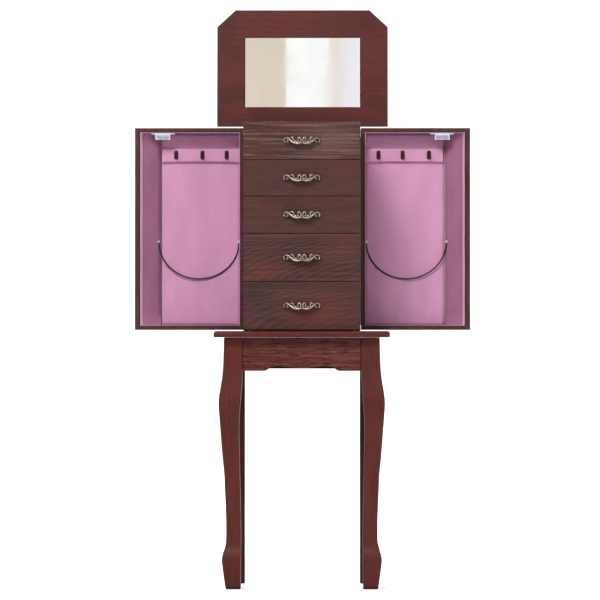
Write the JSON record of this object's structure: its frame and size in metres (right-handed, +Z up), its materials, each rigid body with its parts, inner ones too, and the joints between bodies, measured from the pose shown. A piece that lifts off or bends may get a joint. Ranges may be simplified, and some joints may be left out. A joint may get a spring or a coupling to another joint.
{
  "type": "jewellery chest with drawers",
  "caption": "Jewellery chest on cabriole-style legs with a mirrored lift-up lid, stacked drawers and swing-out side doors with necklace hooks.",
  "frame": {"origin": "on the floor under the middle of the bounding box at rest, with lid and doors open", "axes": "+Z up, +X to the right as seen from the front, -Y towards the user and the drawer fronts"},
  "size_m": [0.6474, 0.2918, 1.1057],
  "materials": {
    "mahogany": "satin lacquered reddish brown wood with open oak-like grain",
    "carcass_wood": "satin lacquered reddish brown wood",
    "drawer_wood": "satin lacquered brown wood with reddish streaks",
    "lined_box": "stained wood outside, pink velvet lining inside",
    "velvet_board": "pink short-pile velvet over board",
    "velvet_pad": "pink short-pile velvet over foam",
    "mirror_glass": "silvered plate glass",
    "antique_brass": "antiqued brass with dark recesses",
    "dark_bronze": "dark bronzed",
    "hinge_brass": "brass plated",
    "steel": "plated steel",
    "catch_plastic": "white moulded plastic",
    "black_cord": "black elastic cord"
  },
  "bodies": {
    "cabinet": {"base_top": "mahogany", "leg_front_left": "mahogany", "leg_front_right": "mahogany", "leg_rear_left": "mahogany", "leg_rear_right": "mahogany", "apron_front": "mahogany", "apron_rear": "mahogany", "apron_left": "mahogany", "apron_right": "mahogany", "side_panel_left": "carcass_wood", "side_panel_right": "carcass_wood", "back_panel": "carcass_wood", "shelf_1": "carcass_wood", "shelf_2": "carcass_wood", "shelf_3": "carcass_wood", "shelf_4": "carcass_wood", "tray_floor": "carcass_wood", "top_tray": "velvet_board", "ring_roll_cushion": "velvet_pad", "lid_hinge_fixed_leaf": "hinge_brass", "door_hinge_fixed_leaf_left": "hinge_brass", "door_hinge_fixed_leaf_right": "hinge_brass", "strike_plate_left": "steel", "strike_plate_right": "steel"},
    "lid": {"lid_board": "mahogany", "mirror": "mirror_glass", "lid_hinge_moving_leaf": "hinge_brass"},
    "left_door": {"door_frame_left": "mahogany", "door_panel_left": "mahogany", "hook_rail_left": "velvet_board", "hook_left_1": "dark_bronze", "hook_left_2": "dark_bronze", "hook_left_3": "dark_bronze", "catch_left": "catch_plastic", "necklace_cord_left": "black_cord", "door_hinge_moving_leaf_left": "hinge_brass"},
    "right_door": {"door_frame_right": "mahogany", "door_panel_right": "mahogany", "hook_rail_right": "velvet_board", "hook_right_1": "dark_bronze", "hook_right_2": "dark_bronze", "hook_right_3": "dark_bronze", "catch_right": "catch_plastic", "necklace_cord_right": "black_cord", "door_hinge_moving_leaf_right": "hinge_brass"},
    "drawer_1": {"drawer_front_1": "drawer_wood", "drawer_box_1": "lined_box", "handle_1": "antique_brass"},
    "drawer_2": {"drawer_front_2": "drawer_wood", "drawer_box_2": "lined_box", "handle_2": "antique_brass"},
    "drawer_3": {"drawer_front_3": "drawer_wood", "drawer_box_3": "lined_box", "handle_3": "antique_brass"},
    "drawer_4": {"drawer_front_4": "drawer_wood", "drawer_box_4": "lined_box", "handle_4": "antique_brass"},
    "drawer_5": {"drawer_front_5": "drawer_wood", "drawer_box_5": "lined_box", "handle_5": "antique_brass"}
  },
  "joints": [
    {"name": "lid_hinge", "type": "hinge", "parent": "cabinet", "child": "lid", "pos_m": [0, 0.09863, 0.87725], "axis": [1, 0, 0], "range_deg": [0, 94]},
    {"name": "left_door_hinge", "type": "hinge", "parent": "cabinet", "child": "left_door", "pos_m": [-0.11025, 0.09863, 0.678], "axis": [0, 0, 1], "range_deg": [-15, 90]},
    {"name": "right_door_hinge", "type": "hinge", "parent": "cabinet", "child": "right_door", "pos_m": [0.11025, 0.09863, 0.678], "axis": [0, 0, 1], "range_deg": [-90, 15]},
    {"name": "drawer_1_slide", "type": "slide", "parent": "cabinet", "child": "drawer_1", "axis": [0, -1, 0], "range_m": [0, 0.15]},
    {"name": "drawer_2_slide", "type": "slide", "parent": "cabinet", "child": "drawer_2", "axis": [0, -1, 0], "range_m": [0, 0.15]},
    {"name": "drawer_3_slide", "type": "slide", "parent": "cabinet", "child": "drawer_3", "axis": [0, -1, 0], "range_m": [0, 0.15]},
    {"name": "drawer_4_slide", "type": "slide", "parent": "cabinet", "child": "drawer_4", "axis": [0, -1, 0], "range_m": [0, 0.15]},
    {"name": "drawer_5_slide", "type": "slide", "parent": "cabinet", "child": "drawer_5", "axis": [0, -1, 0], "range_m": [0, 0.15]}
  ]
}
